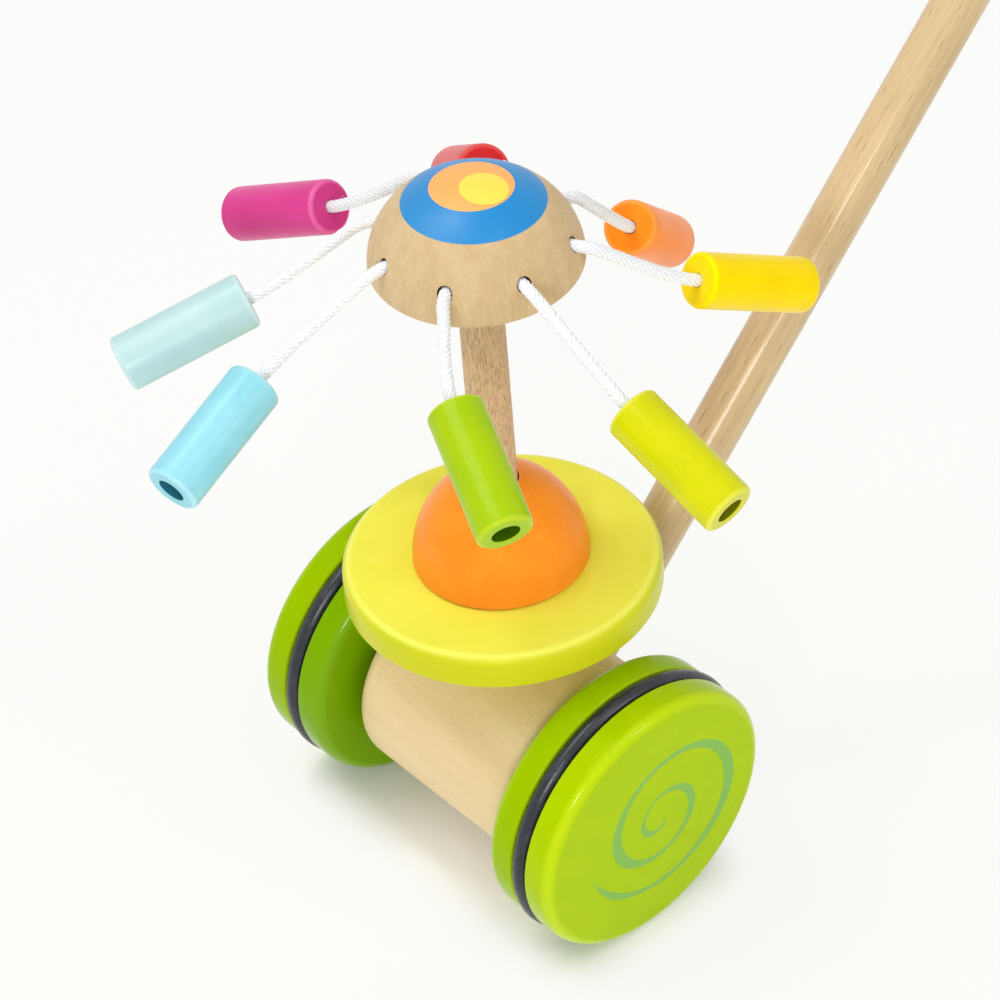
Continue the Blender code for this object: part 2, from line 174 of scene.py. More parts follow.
# %% [markdown]
# ## Arithmetic on nodes
#
# A mask or a tone is a formula, and a formula is easier to read as one than as a
# row of Math nodes. So each node's result is held in a Term: plus, minus and
# times between terms add the Math nodes to the tree behind the scenes.


# %% Terms
def put(value, socket):
    """Feed a socket from a term or with a plain value."""
    if isinstance(value, Term):
        value.tree.links.new(value.socket, socket)
    else:
        socket.default_value = value


def node(tree, kind, settings=None, **inputs):
    """A node with its settings and its inputs, which may be terms or values."""
    made = tree.nodes.new("ShaderNode" + kind)
    for key, value in (settings or {}).items():
        setattr(made, key, value)
    for label, value in inputs.items():
        put(value, made.inputs[label.replace("_", " ")])
    return made


def maths(tree, kind, operation, *values):
    """The result of a Math or VectorMath node."""
    made = node(tree, kind, {"operation": operation})
    for value, socket in zip(values, made.inputs):
        put(value, socket)
    return Term(made.outputs[0])


class Term:
    """A node's result, on which plain arithmetic adds Math nodes."""

    def __init__(self, socket):
        self.socket, self.tree = socket, socket.id_data

    def do(self, operation, *others):
        """The result of a Math node that takes this term first."""
        return maths(self.tree, "Math", operation, self, *others)

    def __add__(self, other):
        return self.do("ADD", other)

    def __sub__(self, other):
        return self.do("SUBTRACT", other)

    def __rsub__(self, other):
        return maths(self.tree, "Math", "SUBTRACT", other, self)

    def __mul__(self, other):
        return self.do("MULTIPLY", other)

    def __truediv__(self, other):
        return self.do("DIVIDE", other)

    def __abs__(self):
        return self.do("ABSOLUTE")

    def clamped(self):
        """The same result, held between 0 and 1."""
        self.socket.node.use_clamp = True
        return self


print("terms know plus, minus, times and over")


# %% Small tools for node trees
def distance(x, y):
    """How far a point lies from the middle of a plane."""
    return (x * x + y * y).do("SQRT")


def ramp(value, low, high, to_low=0.0, to_high=1.0):
    """A smooth step of a value from low to high."""
    return Term(node(value.tree, "MapRange", {"interpolation_type": "SMOOTHSTEP"}, Value=value,
                     From_Min=low, From_Max=high, To_Min=to_low, To_Max=to_high).outputs[0])


def mix(share, a, b):
    """A colour between a and b."""
    made = node(share.tree, "Mix", {"data_type": "RGBA"})
    sockets = {socket.identifier: socket for socket in made.inputs}
    for label, value in (("Factor_Float", share), ("A_Color", a), ("B_Color", b)):
        put(value, sockets[label])
    return Term(next(s for s in made.outputs if s.identifier == "Result_Color"))


def noise(vector, scale, detail=2.0, roughness=0.5, distortion=0.0):
    """A noise texture's value."""
    return Term(node(vector.tree, "TexNoise", Vector=vector, Scale=scale, Detail=detail,
                     Roughness=roughness, Distortion=distortion).outputs[0])


def squeezed(vector, across, along):
    """A vector scaled across its piece and along it; a small scale makes long marks."""
    scales = Term(node(vector.tree, "CombineXYZ", X=across, Y=across, Z=along).outputs[0])
    return maths(vector.tree, "VectorMath", "MULTIPLY", vector, scales)


def parts(vector):
    """The three numbers of a vector."""
    return [Term(part) for part in node(vector.tree, "SeparateXYZ", Vector=vector).outputs]


def attribute(tree, name):
    """A number that the mesh carries."""
    return Term(node(tree, "Attribute", {"attribute_name": name}).outputs["Fac"])


print("node tools ready")

# %% [markdown]
# ## Node groups
#
# Several finishes share the same effects: the long fibres of wood, its pores,
# and paint that lets a little of the wood through. Each effect is one node
# group with named sockets, made once and used with its own values.


# %% A group with named sockets
def new_group(name, colours, numbers):
    """A group that turns a vector, colours and numbers into a finish's three values.

    It comes with the terms of its inputs and the sockets of its outputs.
    """
    group = bpy.data.node_groups.new(name, "ShaderNodeTree")
    kinds = ([("Vector", "Vector")] + [(label, "Color") for label in colours]
             + [(label, "Float") for label in numbers])
    for label, kind in kinds:
        socket = group.interface.new_socket(label, in_out="INPUT", socket_type="NodeSocket" + kind)
        if label in numbers:
            socket.default_value = numbers[label]
    for label, kind in (("Color", "Color"), ("Height", "Float"), ("Roughness", "Float")):
        group.interface.new_socket(label, in_out="OUTPUT", socket_type="NodeSocket" + kind)
    given = group.nodes.new("NodeGroupInput").outputs
    results = group.nodes.new("NodeGroupOutput").inputs
    return group, {label: Term(given[label]) for label, _ in kinds}, results


print("a group gives colour, height and roughness")

# %% [markdown]
# ### Wood
#
# Wood is mostly long fibres: a noise squeezed along the grain gives streaks.
# Growth rings are a slow change from the middle outward, and pores are short
# dark dashes along the grain. The group reads a vector whose Z runs along the
# grain, in metres.

# %% Wood group
wood_group, given, results = new_group("Wood figure", ("Pale", "Deep", "Pore"), {
    "Band scale": 150.0, "Fibre scale": 1500.0, "Pore scale": 2600.0, "Pore length": 0.12,
    "Pore share": 0.3, "Figure": 0.5, "Grit": 0.2, "Fibres": 1.2, "Dullness": 0.36})
grain = squeezed(given["Vector"], 1.0, 0.03)
fibres = noise(grain, given["Fibre scale"], 3.0, 0.65)
bands = noise(grain, given["Band scale"], 2.0, 0.5, 0.3)
clouds = noise(squeezed(given["Vector"], 1.0, 0.2), 42.0)
grit = noise(given["Vector"], 2600.0)
pits = noise(squeezed(given["Vector"], 1.0, given["Pore length"]), given["Pore scale"], 1.0)
pit_edge = 0.80 - given["Pore share"] * 0.28
pores = ramp(pits, pit_edge, pit_edge + 0.10)
tone = (ramp(bands, 0.3, 0.7) * 0.5 + ramp(clouds, 0.3, 0.7) * 0.5) * given["Figure"]
tone = (tone + (fibres - 0.45) * given["Fibres"] + (grit - 0.5) * given["Grit"]).clamped()
colour = mix(tone, given["Pale"], given["Deep"])
put(mix(pores * 0.75, colour, given["Pore"]), results["Color"])
put(fibres * 0.5 - pores, results["Height"])
put(given["Dullness"] + fibres * 0.22, results["Roughness"])
print("wood group", len(wood_group.nodes), "nodes")

# %% [markdown]
# ### Paint on turned wood
#
# The paint of such a toy is thin. It keeps a breath of the fibres, shows the
# fine rings that the lathe left, and gets lighter on rounded edges: partly wear,
# where sanding and small hands thin it, and partly a painted highlight. The mask
# for both is an attribute that each turned mesh carries.

# %% Paint group
paint_group, given, results = new_group("Paint on turned wood", ("Paint", "Light", "Deep"), {
    "Wear": 0.0, "Lathe marks": 0.3, "Fibre marks": 0.3, "Gloss": 0.24})
lathe = noise(squeezed(given["Vector"], 0.06, 1.0), 3000.0, 2.0, 0.6)
fibres = noise(squeezed(given["Vector"], 1.0, 0.06), 1700.0, 2.0, 0.6)
peel = noise(given["Vector"], 1900.0, 1.0)
clouds = noise(given["Vector"], 75.0, 3.0)
marks = (lathe - 0.5) * given["Lathe marks"] + (fibres - 0.5) * given["Fibre marks"]
tone = (ramp(clouds, 0.35, 0.65) * 0.35 + marks * 1.6).clamped()
colour = mix(tone, given["Paint"], given["Deep"])
# rounded edges get the light tone: partly wear, partly a painted highlight
put(mix(given["Wear"] * 0.45, colour, given["Light"]), results["Color"])
put(marks + peel * 0.5, results["Height"])
put(given["Gloss"] + peel * 0.10, results["Roughness"])
print("paint group", len(paint_group.nodes), "nodes")

# %% [markdown]
# ## Finishes
#
# A finish is a material whose pattern follows its piece. Object coordinates
# fill the whole room, so a Mapping node moves them onto the piece, with Z along
# the piece's own axis.


# %% Start of a material
def new_finish(name):
    """A material with nodes."""
    material = bpy.data.materials.new(name)
    material.use_nodes = True
    return material


def opened(material):
    """A material's tree and the inputs of its shader."""
    return material.node_tree, material.node_tree.nodes["Principled BSDF"].inputs


def room_space(tree):
    """Object coordinates: every piece's object is at the origin, so they are the room's."""
    return Term(node(tree, "TexCoord").outputs["Object"])


def piece_space(tree, place):
    """Object coordinates as seen from a piece's own place."""
    return Term(node(tree, "Mapping", {"vector_type": "TEXTURE"}, Vector=room_space(tree),
                     Location=place.to_translation(), Rotation=place.to_euler()).outputs[0])


def bump(shader, height, depth):
    """Relief of a depth in metres."""
    made = node(height.tree, "Bump", Height=height, Distance=depth, Strength=1.0)
    put(Term(made.outputs[0]), shader["Normal"])


def varnish(shader, weight, roughness):
    """A clear coat over the finish."""
    put(weight, shader["Coat Weight"])
    put(roughness, shader["Coat Roughness"])


def fed(socket):
    """The term that feeds a socket so far."""
    return Term(socket.links[0].from_socket)


print("materials can start")

# %% Wood and paint finishes
LACQUER_SHEEN = 0.3
LACQUER_TINT = (1.0, 0.9, 0.72, 1.0)
FINE_RELIEF = 0.00005


def dress(material, place, group, relief, sheen, tint, **values):
    """Feed a material's shader from a node group that follows its piece."""
    tree, shader = opened(material)
    made = node(tree, "Group", {"node_tree": group}, Vector=piece_space(tree, place), **values)
    put(Term(made.outputs["Color"]), shader["Base Color"])
    put(Term(made.outputs["Roughness"]), shader["Roughness"])
    put(sheen, shader["Specular IOR Level"])
    put(tint, shader["Specular Tint"])
    bump(shader, Term(made.outputs["Height"]), relief)
    return material


def wood_finish(name, place, pale, deep, pore, relief=FINE_RELIEF, **looks):
    """Lacquered wood with its grain along the piece; looks are inputs of its group."""
    return dress(new_finish(name), place, wood_group, relief, LACQUER_SHEEN, LACQUER_TINT,
                 Pale=pale, Deep=deep, Pore=pore, **looks)


def paint_finish(name, place, paint, light, deep, sheen=0.35, tint=0.0, relief=FINE_RELIEF,
                 **looks):
    """Thin glossy paint on a turned piece; its sheen keeps the paint's own hue."""
    material = new_finish(name)
    strongest = max(paint[:3])
    hue = [tint + (1 - tint) * value / strongest for value in paint[:3]] + [1.0]
    return dress(material, place, paint_group, relief, sheen, hue, Paint=paint, Light=light,
                 Deep=deep, Wear=attribute(material.node_tree, "wear_and_highlight"), **looks)


print("finishes ready")

# %% [markdown]
# ## Turned pieces
#
# Nearly everything here comes off a lathe, so one helper does most of the
# modelling: it draws half of the section, spins it round the axis and closes
# the seam. Each point of the section also carries a share of wear and painted
# highlight, high on rounded edges.

# %% The lathe
MERGE = 0.000005
SHARP = math.radians(40)


def arc(centre_r, centre_z, radius, start_deg, end_deg, pieces, wear_and_highlight=1.0):
    """Points of a rounded edge as (radius, height, share of wear and painted highlight)."""
    points = []
    for i in range(pieces + 1):
        share = i / pieces
        angle = math.radians(start_deg + (end_deg - start_deg) * share)
        points.append((centre_r + radius * math.cos(angle), centre_z + radius * math.sin(angle),
                       wear_and_highlight * math.sin(math.pi * share)))
    return points


def spun(section, steps, closed=False):
    """A bmesh made by spinning half of a section round Z."""
    shape = bmesh.new()
    wear_and_highlight = shape.verts.layers.float.new("wear_and_highlight")
    points = []
    for r, z, share in section:
        point = shape.verts.new((r, 0, z))
        point[wear_and_highlight] = share
        points.append(point)
    ends = points[1:] + points[:1] if closed else points[1:]
    edges = [shape.edges.new(pair) for pair in zip(points, ends)]
    bmesh.ops.spin(shape, geom=points + edges, cent=(0, 0, 0), axis=(0, 0, 1), angle=math.tau,
                   steps=steps, use_merge=True, use_duplicate=False)
    bmesh.ops.remove_doubles(shape, verts=shape.verts, dist=MERGE)
    bmesh.ops.recalc_face_normals(shape, faces=shape.faces)
    return shape


def link(name, shape, place, material):
    """Turn a bmesh into an object at the origin, with its place in its mesh."""
    mesh = bpy.data.meshes.new(name)
    shape.transform(place)
    shape.to_mesh(mesh)
    shape.free()
    mesh.shade_smooth()
    mesh.set_sharp_from_angle(angle=SHARP)
    mesh.materials.append(material)
    return placed(name, mesh)


def turned(name, section, steps, place, material, closed=False, inner=None):
    """A solid of revolution from half of its section.

    inner is a radius, a height and a material: the walls nearer to the axis than
    that radius and above that height take the material.
    """
    shape = spun(section, steps, closed)
    if inner:
        for face in shape.faces:
            middle = face.calc_center_median()
            face.material_index = int(math.hypot(middle.x, middle.y) < inner[0]
                                      and middle.z > inner[1])
    piece = link(name, shape, place, material)
    if inner:
        piece.data.materials.append(inner[2])
    return piece


print("lathe ready")

# %% [markdown]
# ### Drilled holes
#
# A hole that leaves a turned piece at an angle can't be spun with it. A drill is
# a plain rod, and a Boolean modifier takes it away from the piece; the wall of
# the hole gets the drill's own material, which is darker end grain.


# %% Drills
def drill(radius, low, high, place, steps=36):
    """A drill along local Z, from low to high."""
    shape = spun([(0, low, 0), (radius, low, 0), (radius, high, 0), (0, high, 0)], steps)
    shape.transform(place)
    return shape


def bore(piece, drills, material):
    """Cut drills out of a piece; the walls take the material."""
    piece.data.materials.append(material)
    cutters = []
    for i, shape in enumerate(drills):
        mesh = bpy.data.meshes.new(f"drill_{i}")
        shape.to_mesh(mesh)
        shape.free()
        mesh.materials.append(material)
        cutter = placed(f"drill_{i}", mesh)
        cut = piece.modifiers.new(cutter.name, "BOOLEAN")
        cut.operation, cut.solver, cut.object = "DIFFERENCE", "EXACT", cutter
        cut.material_mode = "TRANSFER"
        cutters.append(cutter)
    graph = bpy.context.evaluated_depsgraph_get()
    solid = bpy.data.meshes.new_from_object(piece.evaluated_get(graph))
    solid.set_sharp_from_angle(angle=SHARP)
    piece.modifiers.clear()
    piece.data = solid
    for cutter in cutters:
        bpy.data.objects.remove(cutter)


def settle(piece, body, node_name):
    """Put a finished piece on its body in place of its CAD node."""
    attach(piece, body)
    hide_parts(node_name)
    print(piece.name, len(piece.data.polygons), "faces on", body)


print("drills ready")

# %% [markdown]
# ## Wheels
#
# Each wheel is one turned piece with a groove for its rubber ring. The outer
# edges are well rounded for small hands, the groove's lips are only broken.
# The near wheel carries a printed spiral on its outer face.

# %% Sizes of the wheels
WHEEL_RADIUS = 0.0500
WHEEL_WIDTH = 0.0294
WHEEL_EDGE = 0.0040
WHEEL_INNER_X = 0.0425
GROOVE_LIP = 0.0012
GROOVE_WEAR_AND_HIGHLIGHT = 0.6
RING_SECTION = 0.0029
RING_MAJOR = 0.0479
AXLE_RADIUS = 0.0040
AXLE_IN_WHEEL = 0.0180
SEAT_GAP = 0.0003
WHEEL_STEPS = 160
SIDES = (("near", 1), ("far", -1))


def along_axle(sign, x):
    """A place on the axle's line at x, with Z away from the drum."""
    return pointing((sign, 0, 0), AXLE + Vector((sign * x, 0, 0)))


def wheel_section():
    """Section of a wheel; height 0 is its inner face, where the axle's bore opens."""
    top, middle = WHEEL_WIDTH, WHEEL_WIDTH / 2
    seat = RING_SECTION + SEAT_GAP
    bore_r = AXLE_RADIUS + SEAT_GAP
    bore_end = AXLE_IN_WHEEL + SEAT_GAP
    rim = WHEEL_RADIUS - WHEEL_EDGE
    flat = rim - WHEEL_EDGE / 2
    lip_r = WHEEL_RADIUS - GROOVE_LIP
    return ([(0, top, 0), (rim / 2, top, 0), (flat, top, 0)]
            + arc(rim, top - WHEEL_EDGE, WHEEL_EDGE, 90, 0, 10)
            + arc(lip_r, middle + seat + GROOVE_LIP, GROOVE_LIP, 0, -90, 4, GROOVE_WEAR_AND_HIGHLIGHT)
            + arc(RING_MAJOR, middle, seat, 90, 270, 14, 0)
            + arc(lip_r, middle - seat - GROOVE_LIP, GROOVE_LIP, 90, 0, 4, GROOVE_WEAR_AND_HIGHLIGHT)
            + arc(rim, WHEEL_EDGE, WHEEL_EDGE, 0, -90, 10)
            + [(flat, 0, 0), (bore_r, 0, 0), (bore_r, bore_end, 0), (0, bore_end, 0)])


print("wheel section", len(wheel_section()), "points")

# %% [markdown]
# ### The printed spiral
#
# A spiral can be drawn without any picture. In polar terms, a point lies on the
# line when its radius equals the pitch times the number of turns so far, so the
# distance to the nearest turn is a matter of rounding. A real print is livelier:
# here the pitch quickens a little outward, the outer turns drift to one side, and
# a slow wave widens and narrows the line as a brush would.

# %% Sizes of the spiral
SPIRAL_START = 0.0025          # radius where the line begins
SPIRAL_PITCH = 0.0116          # growth of the first turn
SPIRAL_GAIN = 0.0010           # the growth quickens a little outward
SPIRAL_DRIFT = 4.2             # the outer turns lie more to one side, per metre
SPIRAL_DRIFT_DEG = 25.0
SPIRAL_TURNS = 2.40
SPIRAL_TAPER = 0.12            # the line ends in a point, this many turns long
SPIRAL_WIDTH = 0.0034
SPIRAL_CENTRE = (0.0022, 0.0002)
SPIRAL_START_DEG = -27.0
SPIRAL_WAVES = 1.9             # swellings of the line in one turn
SPIRAL_FIRST_WAVE = 0.35       # turns to the first swelling
SPIRAL_SWELL = 0.36            # how much the line widens and narrows
SPIRAL_THIN = 0.62             # share of the width in the first half turn
print("spiral of", SPIRAL_TURNS, "turns")


# %% Spiral mask
def spiral_mask(across, upward):
    """1 on the spiral's line, from the two coordinates of the wheel's face."""
    y, z = across - SPIRAL_CENTRE[0], upward - SPIRAL_CENTRE[1]
    lean = math.radians(SPIRAL_DRIFT_DEG)
    aside = y * (math.cos(lean) * SPIRAL_DRIFT) + z * (math.sin(lean) * SPIRAL_DRIFT)
    radius = distance(y, z) * (1.0 - aside)
    # Turns so far at this radius: start + pitch * t + gain * t * t, solved for t.
    inside = (radius - SPIRAL_START) * (4 * SPIRAL_GAIN) + SPIRAL_PITCH ** 2
    turns_here = (inside.do("SQRT") - SPIRAL_PITCH) / (2 * SPIRAL_GAIN)
    turn = (z.do("ARCTAN2", y) / -math.tau + (SPIRAL_START_DEG / 360 + 2)).do("FRACT")
    along = turn + (turns_here - turn).do("ROUND")
    growth = (along * (2 * SPIRAL_GAIN) + SPIRAL_PITCH) * (aside * 2.0 + 1.0)
    off = abs(turns_here - along) * growth
    wave = ((along - SPIRAL_FIRST_WAVE) * (math.tau * SPIRAL_WAVES)).do("COSINE")
    half = (wave * SPIRAL_SWELL + 1.0) * (SPIRAL_WIDTH / 2)
    half = half * ramp(along, 0.5, 1.3, SPIRAL_THIN, 1.0)
    half = half * ramp(along, SPIRAL_TURNS - SPIRAL_TAPER, SPIRAL_TURNS, 1.0, 0.0)
    return ramp(half - off, 0.00002, 0.00016) * ramp(along, 0.0, 0.02)


print("spiral mask", round(SPIRAL_WIDTH * 1000, 1), "mm wide")

# %% Wheel finish
# The light tone is the edge tone: wear and a painted highlight. The shade colour and its shares
# are painted shade, on the inner half of the near wheel and over the far wheel.
WHEEL_GREEN = screen(172, 201, 0)
WHEEL_LIGHT = screen(210, 232, 0)
WHEEL_DEEP = screen(158, 193, 0)
WHEEL_PAINTED_SHADE = screen(120, 166, 0)
PAINTED_SHADE_SHARES = {"near": (0.4, 0.0), "far": (1.0, 0.5)}      # at the inner and the outer face
PRINT_GREEN = screen(130, 183, 86)
PRINT_COVER = 0.94


def from_axle(tree):
    """The room's three coordinates, reckoned from the middle of the axle."""
    return parts(maths(tree, "VectorMath", "SUBTRACT", room_space(tree), AXLE))


def wheel_finish(side, place):
    """Green paint with painted shade towards the drum and over the far wheel; glossiest on the
    rounded edges.

    The near wheel's outer face has the printed spiral.
    """
    material = paint_finish("green_paint_" + side, place, WHEEL_GREEN, WHEEL_LIGHT, WHEEL_DEEP,
                            sheen=0.08, Lathe_marks=0.06, Fibre_marks=0.10, Gloss=0.12)
    tree, shader = opened(material)
    varnish(shader, attribute(tree, "wear_and_highlight") * 0.28, 0.12)
    x, y, z = from_axle(tree)
    outward = abs(x) - WHEEL_INNER_X
    # painted shade: darker towards the drum, and over the far wheel
    shade = ramp(outward, WHEEL_WIDTH * 0.4, WHEEL_WIDTH * 0.6, *PAINTED_SHADE_SHARES[side])
    base = mix(shade, fed(shader["Base Color"]), WHEEL_PAINTED_SHADE)
    if side == "near":
        face = ramp(outward, WHEEL_WIDTH - 0.001, WHEEL_WIDTH - 0.0005)
        base = mix(spiral_mask(y, z) * face * PRINT_COVER, base, PRINT_GREEN)
    put(base, shader["Base Color"])
    return material


print("wheel paint ready")

# %% Wheels
for side, sign in SIDES:
    place = along_axle(sign, WHEEL_INNER_X)
    wheel = turned("turned_wheel_" + side, wheel_section(), WHEEL_STEPS, place,
                   wheel_finish(side, place))
    settle(wheel, "wheel_set", "wheel_" + side)

# %% [markdown]
# ## Rubber rings and axle
#
# The rings are plain cords of black rubber. Moulded rubber is never quite
# black: it gathers a greyish bloom and has a dull sheen, so its roughness and
# colour wander a little.

# %% Rubber
RUBBER_BLACK = screen(24, 30, 40)
RUBBER_BLOOM = screen(70, 77, 86)


def rubber_finish(name, place):
    """Black rubber with a faint bloom."""
    material = new_finish(name)
    tree, shader = opened(material)
    space = piece_space(tree, place)
    bloom = ramp(noise(space, 170.0, 4.0, 0.65), 0.48, 0.72)
    put(mix(bloom * 0.35, RUBBER_BLACK, RUBBER_BLOOM), shader["Base Color"])
    put(bloom * 0.2 + 0.24, shader["Roughness"])
    bump(shader, noise(space, 4200.0, 1.0) + bloom, 0.00003)
    return material


for side, sign in SIDES:
    place = along_axle(sign, WHEEL_INNER_X + WHEEL_WIDTH / 2)
    ring = turned("rubber_ring_" + side, arc(RING_MAJOR, 0, RING_SECTION, 0, 360, 24, 0)[:-1],
                  WHEEL_STEPS, place, rubber_finish("rubber_" + side, place), closed=True)
    settle(ring, "wheel_set", "ring_" + side)

# %% Axle
BEECH = screen(214, 187, 142), screen(178, 146, 100), screen(146, 104, 66)
AXLE_EDGE = 0.0006


def rod_section(radius, length, edge, pieces):
    """A round rod from height 0 to its length, both ends rounded alike."""
    return ([(0, length, 0)] + arc(radius - edge, length - edge, edge, 90, 0, pieces)
            + arc(radius - edge, edge, edge, 0, -90, pieces) + [(0, 0, 0)])


axle_half = WHEEL_INNER_X + AXLE_IN_WHEEL
place = along_axle(1, -axle_half)
axle = turned("axle_rod", rod_section(AXLE_RADIUS, 2 * axle_half, AXLE_EDGE, 4), 48, place,
              wood_finish("axle_beech", place, *BEECH))
settle(axle, "wheel_set", "axle")

# %% [markdown]
# ## Drum and push handle
#
# The drum is pale close-grained maple, oiled rather than painted. Its grain
# runs along the axle. The handle is a beech dowel, whose pores show as short
# dark dashes, under a clear coat that catches a streak of light. The drum is
# drilled for the handle and for the post, and runs freely on the axle.

# %% Sizes of the drum, the handle and the post
DRUM_RADIUS = 0.0375
DRUM_HALF = 0.0380
DRUM_EDGE = 0.0060
RUNNING_GAP = 0.0004
HANDLE_RADIUS = 0.0090
HANDLE_LENGTH = 0.5800
HANDLE_EDGE = 0.0035
HANDLE_IN_DRUM = 0.0300
HANDLE_BEHIND_AXLE = 0.0254
HANDLE_LEAN = math.radians(41.6)
HANDLE_SIDE_LEAN = math.radians(0.5)
HANDLE_DRILL = 0.0680          # the drills reach past the drum's skin
POST_RADIUS = 0.0075
POST_FOOT = 0.0080
POST_DRILL = 0.0420

lean_back, lean_side = HANDLE_LEAN, HANDLE_SIDE_LEAN
handle_along = Vector((math.sin(lean_side), math.sin(lean_back) * math.cos(lean_side),
                       math.cos(lean_back) * math.cos(lean_side)))
handle_nearest = Vector((0, math.cos(lean_back), -math.sin(lean_back))) * HANDLE_BEHIND_AXLE
handle_skin = math.sqrt(DRUM_RADIUS ** 2 - HANDLE_BEHIND_AXLE ** 2)
HANDLE = pointing(handle_along,
                  AXLE + handle_nearest + handle_along * (handle_skin - HANDLE_IN_DRUM))
print("the handle meets the drum's skin", round(handle_skin, 4), "from the nearest point")

# %% Drum
MAPLE = screen(235, 211, 164), screen(209, 172, 114), screen(192, 150, 96)
MAPLE_ENDS = screen(176, 138, 92), screen(128, 92, 58), screen(90, 60, 36)


def drum_section():
    """Section of the drum, centred on height 0, with its bore."""
    bore_r = AXLE_RADIUS + RUNNING_GAP
    flat, rim = DRUM_RADIUS * 0.5, DRUM_RADIUS - DRUM_EDGE
    return ([(bore_r, DRUM_HALF, 0), (flat, DRUM_HALF, 0)]
            + arc(rim, DRUM_HALF - DRUM_EDGE, DRUM_EDGE, 90, 0, 10)
            + [(DRUM_RADIUS, z * DRUM_HALF, 0) for z in (0.6, 0.3, 0, -0.3, -0.6)]
            + arc(rim, DRUM_EDGE - DRUM_HALF, DRUM_EDGE, 0, -90, 10)
            + [(flat, -DRUM_HALF, 0), (bore_r, -DRUM_HALF, 0)])


place = along_axle(1, 0)
drum = turned("maple_drum", drum_section(), 144, place,
              wood_finish("drum_maple", place, *MAPLE, Pore_share=0.4, Figure=0.38,
                          Pore_scale=5200.0, Pore_length=0.06, Band_scale=80.0, Grit=0.12,
                          Fibres=0.6),
              closed=True)
bore(drum, [drill(HANDLE_RADIUS + SEAT_GAP, -SEAT_GAP, HANDLE_DRILL, HANDLE),
            drill(POST_RADIUS + RUNNING_GAP, POST_FOOT - SEAT_GAP, POST_DRILL, ROUNDABOUT)],
     wood_finish("drilled_maple", place, *MAPLE_ENDS, Pore_share=0.6))
settle(drum, "chassis", "drum")

# %% Push handle
stick = wood_finish("handle_beech", HANDLE, *BEECH, relief=0.00012, Pore_share=0.42, Figure=0.48,
                    Pore_scale=2100.0, Pore_length=0.05, Band_scale=420.0, Fibres=1.3,
                    Dullness=0.20)
varnish(opened(stick)[1], 0.35, 0.15)
handle = turned("push_handle", rod_section(HANDLE_RADIUS, HANDLE_LENGTH, HANDLE_EDGE, 8), 64,
                HANDLE, stick)
settle(handle, "chassis", "handle")

# %% [markdown]
# ## Post, disc and hemisphere
#
# These turn together. The disc's lower edge is left crisp because it is the
# working edge that the rubber ring drives; its upper edge is generously round.
# The hemisphere only covers the joint, with a loose hole for the post.

# %% Sizes of the roundabout
DISC_RADIUS = 0.0541
DISC_THICKNESS = 0.0125
DISC_TOP_EDGE = 0.0038
DISC_LOW_EDGE = 0.0010
CAP_RADIUS = 0.0300
CAP_HEIGHT = 0.0340
CAP_BORE_SLACK = 0.0005
CAP_UNDERCUT = 0.0007
DOME_ABOVE_DISC = 0.1232
DOME_SOCKET = 0.0200
PLANK_TURN = math.radians(-20)
ring_off_axis = WHEEL_INNER_X + WHEEL_WIDTH / 2 - (AXLE.x - SPIN_FOOT.x)
DISC_LOW = (ring_off_axis * math.sin(TILT) + RING_MAJOR * math.cos(TILT) + RING_SECTION
            + SEAT_GAP)
DISC_TOP = DISC_LOW + DISC_THICKNESS
DOME_LOW = DISC_TOP + DOME_ABOVE_DISC
print("disc from", round(DISC_LOW, 4), "dome from", round(DOME_LOW, 4), "above the axle")


def at_height(height):
    """Place on the turning axis."""
    return ROUNDABOUT @ Matrix.Translation((0, 0, height))


def lying(place):
    """The same place with its Z across the turning axis, for wood cut along a plank."""
    return (place @ Matrix.Rotation(PLANK_TURN, 4, "Z")
            @ Matrix.Rotation(math.radians(90), 4, "Y"))


# %% Post
POST_EDGE = 0.0010
POST_BEECH = screen(222, 188, 144), screen(196, 156, 112), screen(148, 106, 74)
place = at_height(POST_FOOT)
post = turned("beech_post", rod_section(POST_RADIUS, DOME_LOW + DOME_SOCKET - POST_FOOT,
                                        POST_EDGE, 4), 56, place,
              wood_finish("post_beech", place, *POST_BEECH, Pore_share=0.95, Figure=0.4,
                          Pore_scale=4800.0, Pore_length=0.07))
settle(post, "roundabout", "shaft")

# %% Disc
# Paint, its edge tone of wear and painted highlight, and its deep tone.
DISC_YELLOW = screen(238, 236, 82), screen(250, 249, 130), screen(230, 230, 58)
DISC_SIDE_PAINTED_SHADE = screen(199, 201, 0)
DISC_SIDE_SHADE_SHARE = 0.85


def disc_section():
    """Section of the disc from its underside, round the post."""
    hole, top = POST_RADIUS + SEAT_GAP, DISC_THICKNESS
    return ([(hole, top, 0), (DISC_RADIUS * 0.5, top, 0), (DISC_RADIUS * 0.8, top, 0)]
            + arc(DISC_RADIUS - DISC_TOP_EDGE, top - DISC_TOP_EDGE, DISC_TOP_EDGE, 90, 0, 12)
            + arc(DISC_RADIUS - DISC_LOW_EDGE, DISC_LOW_EDGE, DISC_LOW_EDGE, 0, -90, 5)
            + [(DISC_RADIUS * 0.8, 0, 0), (hole, 0, 0)])


def disc_finish(place):
    """Yellow paint with painted shade round the side, darker and greener than the top."""
    material = paint_finish("yellow_disc_paint", lying(place), *DISC_YELLOW, sheen=0.25,
                            Lathe_marks=0.0, Fibre_marks=0.20, Gloss=0.24)
    tree, shader = opened(material)
    x, y, _ = parts(piece_space(tree, place))
    # painted shade: the side is darker and greener than the top
    side = ramp(distance(x, y), DISC_RADIUS - 0.0022, DISC_RADIUS - 0.0003)
    put(mix(side * DISC_SIDE_SHADE_SHARE, fed(shader["Base Color"]), DISC_SIDE_PAINTED_SHADE), shader["Base Color"])
    return material


place = at_height(DISC_LOW)
disc = turned("friction_disc", disc_section(), 180, place, disc_finish(place), closed=True)
settle(disc, "roundabout", "disc")

